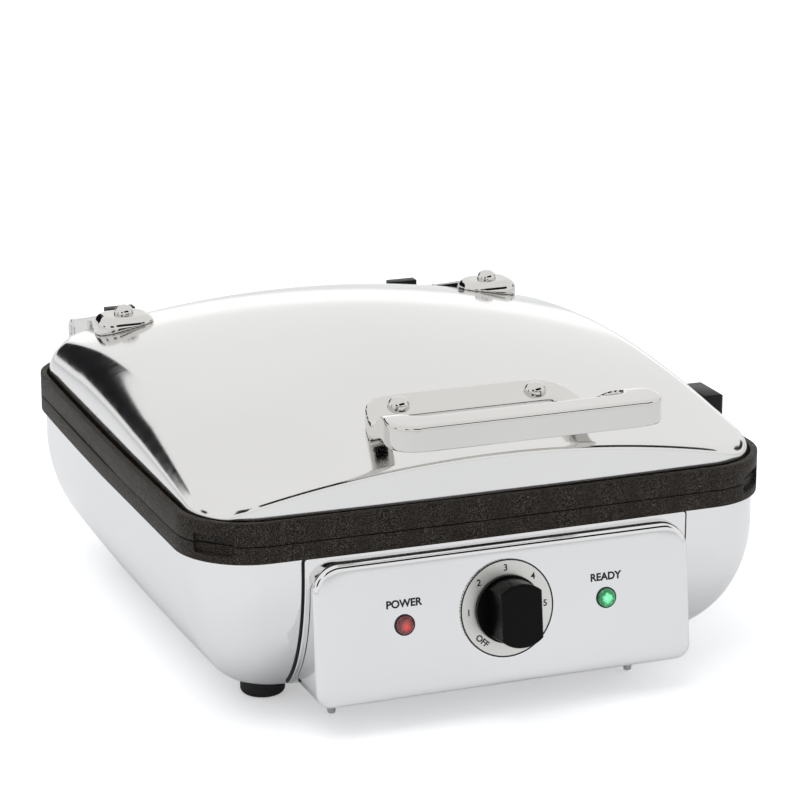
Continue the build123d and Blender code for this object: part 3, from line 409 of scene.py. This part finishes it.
def tub_rings(inset):
    """Rings of the tub from its top edge, down the wall and round under it."""
    knee = tub_bottom + under_height
    top = pillow(case_width - 2 * inset, case_depth - 2 * inset, case_corner - inset, side_bow)
    rings = [ring(top, case_top - case_top_gap), ring(top, (case_top + knee) / 2), ring(top, knee)]
    for k in range(1, under_steps + 1):
        share = k / under_steps
        draw_in = (under_inset - inset) * (1 - cos(pi / 2 * share))
        level = knee - (under_height - inset) * sin(pi / 2 * share)
        corner = case_corner - inset + (under_corner - case_corner) * share
        width, depth = case_width - 2 * inset - 2 * draw_in, case_depth - 2 * inset - 2 * draw_in
        rings.append(ring(pillow(width, depth, corner, side_bow), level))
    edge = rings[-1]
    for share in (0.85, 0.6, 0.3):
        rings.append([Vector((middle_x + (p.x - middle_x) * share, p.y * share, p.z)) for p in edge])
    return rings


tub_outer = tub_rings(0)
tub_inner = tub_rings(case_wall)
tub_mesh = loft("tub", list(reversed(tub_inner)) + tub_outer)
place("tub", tub_mesh, "base", "polished_steel", ["base_housing"])
tub_skin = BVHTree.FromPolygons([v.co for v in tub_mesh.vertices],
                                [tuple(p.vertices) for p in tub_mesh.polygons])

# Control panel
panel_across = Vector((1, 0, 0))
panel_out = Vector((0, -cos(panel_tilt), sin(panel_tilt)))
panel_up = Vector((0, sin(panel_tilt), cos(panel_tilt)))
panel_origin = Vector((middle_x, -panel_front, panel_middle))


def on_panel(across, rise, out=0.0):
    """Point on the panel's tilted face."""
    return panel_origin + panel_across * across + panel_up * rise + panel_out * out


def rounded_box(width, height, top_corner, bottom_corner, steps=12, along=24):
    """Points round a rectangle with its own corner radius above and below."""
    hx, hy = width / 2, height / 2
    corners = [(hx, hy, top_corner, 0), (-hx, hy, top_corner, 1), (-hx, -hy, bottom_corner, 2),
               (hx, -hy, bottom_corner, 3)]
    points = []
    for x, y, r, quarter in corners:
        cx, cy = x - r * (1 if x > 0 else -1), y - r * (1 if y > 0 else -1)
        for k in range(steps + 1):
            angle = pi / 2 * (quarter + k / steps)
            points.append((cx + r * cos(angle), cy + r * sin(angle)))
    full = []
    for k, (x, y) in enumerate(points):
        full.append((x, y))
        nx, ny = points[(k + 1) % len(points)]
        if hypot(nx - x, ny - y) > 8 * MM:
            full += [(x + (nx - x) * j / along, y + (ny - y) * j / along) for j in range(1, along)]
    return full


def on_tub(x, z, lift):
    """Point of the tub's front wall straight behind (x, z), lifted off along its normal."""
    hit, normal, _, _ = tub_skin.ray_cast(Vector((x, -0.4, z)), Vector((0, 1, 0)))
    return hit + normal * lift


flange_bottom = panel_middle - panel_height / 2 * cos(panel_tilt)
flange_top = case_top - panel_gap
flange_height = flange_top - flange_bottom
flange_middle = (flange_top + flange_bottom) / 2
edge_round = 3.2 * MM


def panel_rings():
    """Rings from the flange's back edge over the raised box to its face."""
    flange = rounded_box(panel_width + 2 * panel_flange, flange_height, 1.5 * MM, 2 * MM)
    rings = []
    for lift in (0, 0.6 * panel_flange, 0.9 * panel_flange):
        rings.append([on_tub(middle_x + x, flange_middle + y, lift) for x, y in flange])
    for trim in (0.35 * MM, 0.9 * MM):
        small = rounded_box(panel_width + 2 * panel_flange - 2 * trim, flange_height - 2 * trim,
                            1.2 * MM, 1.8 * MM)
        rings.append([on_tub(middle_x + x, flange_middle + y, panel_flange) for x, y in small])
    base = rounded_box(panel_width, panel_height, panel_top_corner, panel_bottom_corner)
    foot = []
    for x, y in base:
        p = on_panel(x, y)
        hit = on_tub(p.x, max(p.z, flange_bottom + 0.4 * MM), panel_flange)
        foot.append(Vector((p.x, max(hit.y, p.y + edge_round), p.z)))
    rings.append(foot)
    face = [on_panel(x, y) for x, y in base]
    slide = Vector((0, 1, 0))
    rings.append([p + slide * edge_round for p in face])
    for k in range(1, panel_round_steps + 1):
        angle = pi / 2 * k / panel_round_steps
        trim = edge_round * (1 - cos(angle))
        inset = rounded_box(panel_width - 2 * trim, panel_height - 2 * trim,
                            panel_top_corner - trim, panel_bottom_corner - trim)
        rings.append([on_panel(x, y) + slide * edge_round * (1 - sin(angle)) for x, y in inset])
    for share in (0.9, 0.7, 0.4, 0.15):
        rings.append([on_panel(x * share, y * share) for x, y in inset])
    return rings


place("panel_face", loft("panel_face", panel_rings()), "base", "polished_steel", ["control_panel"], 50)
# Painted shade: a thin black strip on the tub round the panel's flange. It stands in for the shadow gap and
# dark reflection where the raised panel meets the tub.
shade_strip_width = 1.3 * MM
shade_strip_under = 1.0 * MM
shade_strip_lift = 0.35 * MM
shade_strip_drop = 0.4 * MM
shade_strip_rings = []
for spread, lift in ((-shade_strip_under, 0.0), (-shade_strip_under, shade_strip_lift), (shade_strip_width, shade_strip_lift),
                     (shade_strip_width, 0.0)):
    outline = rounded_box(panel_width + 2 * (panel_flange + spread), flange_height + 2 * spread,
                          2 * MM + spread, 2.5 * MM + spread)
    shade_strip_rings.append([on_tub(middle_x + x, min(flange_middle + y, case_top - shade_strip_drop), lift)
                       for x, y in outline])
place("panel_shade_strip", loft("panel_shade_strip", shade_strip_rings, (False, False)), "base", "black_plastic")


def softened(node, name, body, slot, voxel, rounds, factor=0.5):
    """Copy of a solid node with its edges worn round, as a casting's are."""
    mesh = nodes[node].data.copy()
    mesh.materials.clear()
    piece = bpy.data.objects.new(name, mesh)
    bpy.context.scene.collection.objects.link(piece)
    remesh = piece.modifiers.new("remesh", "REMESH")
    remesh.mode = "VOXEL"
    remesh.voxel_size = voxel
    smooth = piece.modifiers.new("smooth", "SMOOTH")
    smooth.factor = factor
    smooth.iterations = rounds
    graph = bpy.context.evaluated_depsgraph_get()
    final = bpy.data.meshes.new_from_object(piece.evaluated_get(graph))
    bpy.data.objects.remove(piece)
    return place(name, final, body, slot, [node], 180)


def bevelled(node, name, body, slot, width, segments=2, dissolve=1.0):
    """Copy of a solid node with its sharp edges bevelled."""
    form = bmesh.new()
    form.from_mesh(nodes[node].data)
    bmesh.ops.remove_doubles(form, verts=form.verts, dist=0.01 * MM)
    bmesh.ops.dissolve_limit(form, angle_limit=radians(dissolve), verts=form.verts, edges=form.edges)
    mesh = bpy.data.meshes.new(name)
    form.to_mesh(mesh)
    form.free()
    piece = bpy.data.objects.new(name, mesh)
    bpy.context.scene.collection.objects.link(piece)
    bevel = piece.modifiers.new("bevel", "BEVEL")
    bevel.width = width
    bevel.segments = segments
    bevel.limit_method = "ANGLE"
    bevel.angle_limit = radians(35)
    bevel.harden_normals = False
    graph = bpy.context.evaluated_depsgraph_get()
    final = bpy.data.meshes.new_from_object(piece.evaluated_get(graph))
    bpy.data.objects.remove(piece)
    return place(name, final, body, slot, [node], 38)


softened("lid_handle", "handle_casting", "lid", "chrome_casting", 1.0 * MM, 14)
for side in ("left", "right"):
    softened(f"hinge_strap_{side}", f"strap_{side}", "lid", "chrome_casting", 0.6 * MM, 10)
    softened(f"hinge_base_{side}", f"bracket_{side}", "base", "chrome_casting", 0.7 * MM, 8)
    bevelled(f"rear_stand_{side}", f"stand_{side}", "base", "black_plastic", 1.0 * MM)
bevelled("side_tab", "tab", "lid", "black_plastic", 0.6 * MM)
bevelled("lower_cooking_plate", "lower_plate", "base", "nonstick_casting", 0.7 * MM)
bevelled("upper_cooking_plate", "upper_plate", "lid", "nonstick_casting", 0.7 * MM)


def lettering(name, words, across, rise, out, size, turn=0.0, weight=0.0):
    """Printed words on the panel, as a thin raised mesh."""
    curve = bpy.data.curves.new(name, "FONT")
    curve.body = words
    curve.size = size
    curve.align_x = "CENTER"
    curve.align_y = "CENTER"
    curve.offset = weight
    curve.extrude = 0.03 * MM
    text = bpy.data.objects.new(name, curve)
    bpy.context.scene.collection.objects.link(text)
    basis = Matrix((panel_across, panel_up, panel_out)).transposed().to_4x4()
    spot = Matrix.Translation(on_panel(across, rise, out))
    graph = bpy.context.evaluated_depsgraph_get()
    mesh = bpy.data.meshes.new_from_object(text.evaluated_get(graph))
    bpy.data.objects.remove(text)
    mesh.transform(spot @ basis @ Matrix.Rotation(turn, 4, "Z"))
    piece = bpy.data.objects.new(name, mesh)
    bpy.context.scene.collection.objects.link(piece)
    paint(piece, print_black)
    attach(piece, "base")
    return piece


label_size = 5.6 * MM
label_weight = 0.2 * MM
label_out = 0.05 * MM
label_rise = light_rise + 11.2 * MM
lettering("label_power", "POWER", -light_x, label_rise, label_out, label_size, weight=label_weight)
lettering("label_ready", "READY", light_x, label_rise, label_out, label_size, weight=label_weight)
dial_front = 0.85 * MM
figure_radius = 21.4 * MM
figure_size = 4.8 * MM
figure_weight = 0.1 * MM
off_angle = radians(227)
off_size = 4.6 * MM
off_turn = radians(-43)
off_weight = 0.12 * MM
for figure, angle in (("1", 180), ("2", 135), ("3", 90), ("4", 45), ("5", 0)):
    lettering(f"figure_{figure}", figure, figure_radius * cos(radians(angle)),
              dial_rise + figure_radius * sin(radians(angle)), dial_front, figure_size, weight=figure_weight)
lettering("figure_off", "OFF", figure_radius * cos(off_angle), dial_rise + figure_radius * sin(off_angle),
          dial_front, off_size, off_turn, off_weight)


def disc_ring(name, across, rise, out, inner_radius, outer_radius, thickness, body, material, count=96):
    """Flat ring standing on the panel's face."""
    rows = []
    for radius, depth in ((inner_radius, 0), (outer_radius, 0), (outer_radius, thickness),
                          (inner_radius, thickness), (inner_radius, 0)):
        turns = [2 * pi * k / count for k in range(count)]
        rows.append([on_panel(across + radius * cos(turn), rise + radius * sin(turn), out + depth)
                     for turn in turns])
    mesh = loft(name, rows, (False, False))
    piece = bpy.data.objects.new(name, mesh)
    bpy.context.scene.collection.objects.link(piece)
    paint(piece, material)
    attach(piece, body)
    return piece


dial_edge_inner = 25.2 * MM
dial_edge_outer = 26 * MM
dial_edge_rise = 0.86 * MM
bezel_inner = 5.0 * MM
bezel_outer = 5.6 * MM
bezel_rise = 0.5 * MM
disc_ring("dial_edge", 0, dial_rise, 0, dial_edge_inner, dial_edge_outer, dial_edge_rise, "base",
          print_black)
for name, x in (("power_bezel", -light_x), ("ready_bezel", light_x)):
    disc_ring(name, x, light_rise, 0, bezel_inner, bezel_outer, bezel_rise, "base", print_black)

# Studio
scene = bpy.context.scene
world = bpy.data.worlds.new("studio")
scene.world = world
world.use_nodes = True
tree = world.node_tree
tree.nodes.clear()
output = tree.nodes.new("ShaderNodeOutputWorld")
path = tree.nodes.new("ShaderNodeLightPath")
seen = add_node(tree, "ShaderNodeBackground", Color=(1, 1, 1, 1), Strength=1.0)
dim = add_node(tree, "ShaderNodeBackground", Color=(1, 1, 1, 1), Strength=0.6)
mix = tree.nodes.new("ShaderNodeMixShader")
first = tree.nodes.new("ShaderNodeMath")
first.operation = "MAXIMUM"
second = tree.nodes.new("ShaderNodeMath")
second.operation = "MAXIMUM"
tree.links.new(path.outputs["Is Camera Ray"], first.inputs[0])
tree.links.new(path.outputs["Is Glossy Ray"], first.inputs[1])
tree.links.new(first.outputs[0], second.inputs[0])
tree.links.new(path.outputs["Is Transmission Ray"], second.inputs[1])
tree.links.new(second.outputs[0], mix.inputs[0])
tree.links.new(dim.outputs[0], mix.inputs[1])
tree.links.new(seen.outputs[0], mix.inputs[2])
tree.links.new(mix.outputs[0], output.inputs[0])


def card(name, centre, facing, width, height, colour, strength=0.0, camera=False):
    """Flat studio card that reflections see."""
    form = bmesh.new()
    bmesh.ops.create_grid(form, x_segments=1, y_segments=1, size=0.5)
    mesh = bpy.data.meshes.new(name)
    form.to_mesh(mesh)
    form.free()
    piece = bpy.data.objects.new(name, mesh)
    scene.collection.objects.link(piece)
    piece.scale = (width, height, 1)
    piece.location = centre
    piece.rotation_euler = (Vector(facing) - Vector(centre)).to_track_quat("Z", "Y").to_euler()
    material, _, shader = new_material(name)
    socket(shader, "Base Color", (*colour, 1))
    socket(shader, "Roughness", 1.0)
    socket(shader, "Specular IOR Level", 0.0)
    if strength:
        socket(shader, "Emission Color", (1, 1, 1, 1))
        socket(shader, "Emission Strength", strength)
    paint(piece, material)
    piece.visible_camera = camera
    piece.visible_diffuse = False
    piece.visible_shadow = False
    return piece


floor_glow = 0.4
floor_mirror_glow = 0.08
floor = card("floor", (0, 0, 0), (0, 0, 1), 12, 12, (0.90, 0.91, 0.93), camera=True)
floor.visible_diffuse = True
floor.visible_shadow = True
floor_tree = floor.material_slots[0].material.node_tree
floor_shader = next(n for n in floor_tree.nodes if n.type == "BSDF_PRINCIPLED")
floor_path = floor_tree.nodes.new("ShaderNodeLightPath")
glow = floor_tree.nodes.new("ShaderNodeEmission")
blend = floor_tree.nodes.new("ShaderNodeAddShader")
dimmer = floor_tree.nodes.new("ShaderNodeMath")
dimmer.operation = "MULTIPLY"
dimmer.inputs[1].default_value = floor_glow
floor_tree.links.new(floor_path.outputs["Is Camera Ray"], dimmer.inputs[0])
mirrored = floor_tree.nodes.new("ShaderNodeMath")
mirrored.operation = "MULTIPLY_ADD"
mirrored.inputs[1].default_value = floor_mirror_glow
floor_tree.links.new(floor_path.outputs["Is Glossy Ray"], mirrored.inputs[0])
floor_tree.links.new(dimmer.outputs[0], mirrored.inputs[2])
floor_tree.links.new(mirrored.outputs[0], glow.inputs["Strength"])
floor_out = next(n for n in floor_tree.nodes if n.type == "OUTPUT_MATERIAL")
floor_tree.links.new(floor_shader.outputs[0], blend.inputs[0])
floor_tree.links.new(glow.outputs[0], blend.inputs[1])
floor_tree.links.new(blend.outputs[0], floor_out.inputs["Surface"])

# Cards, which only reflections see: (name, direction from the object, distance, width, height, glow)
centre = Vector((0, 0, 0.12))
for name, direction, distance, width, height, glow_strength in (
        ("card_back_left", (-0.28, 0.93, 0.22), 2.6, 1.75, 0.85, 0),
        ("card_front", (0.28, -0.80, 0.55), 2.4, 2.6, 1.0, 0),
        ("card_front_left", (-0.62, -0.70, 0.36), 2.4, 0.9, 0.8, 0),
        ("card_left", (-0.98, 0.05, 0.18), 2.4, 0.5, 0.4, 0),
        ("card_right", (0.93, 0.30, 0.16), 2.4, 0.9, 0.34, 0),
        ("glow_back", (0.40, 0.90, 0.04), 3.4, 2.2, 0.5, 1.25)):
    spot = centre + Vector(direction).normalized() * distance
    shade = (0, 0, 0) if glow_strength else (0.012, 0.012, 0.014)
    card(name, spot, centre, width, height, shade, glow_strength)


def area_light(name, position, target, size, power, colour=(1, 1, 1)):
    """Square soft light that faces a target."""
    data = bpy.data.lights.new(name, "AREA")
    data.shape = "SQUARE"
    data.size = size
    data.energy = power
    data.color = colour
    lamp = bpy.data.objects.new(name, data)
    lamp.location = position
    lamp.rotation_euler = (Vector(target) - Vector(position)).to_track_quat("-Z", "Y").to_euler()
    lamp.visible_glossy = False
    scene.collection.objects.link(lamp)
    return lamp


target = (0, 0, 0.08)
area_light("key", (-0.7, -0.3, 2.2), target, 1.8, 20)
area_light("fill", (1.5, -1.3, 1.2), target, 1.4, 5)
area_light("rear", (0.2, 1.8, 1.8), target, 1.6, 5)

# Camera
away = Vector((-sin(camera_turn) * cos(camera_tip), -cos(camera_turn) * cos(camera_tip), sin(camera_tip)))
data = bpy.data.cameras.new("camera")
data.lens = camera_lens
data.sensor_width = 36
data.sensor_fit = "HORIZONTAL"
data.shift_y = -frame_raise
data.clip_end = 50
camera = bpy.data.objects.new("camera", data)
camera.location = camera_target + away * camera_distance
camera.rotation_euler = away.to_track_quat("Z", "Y").to_euler()
scene.collection.objects.link(camera)
scene.camera = camera
scene.view_settings.view_transform = "Standard"
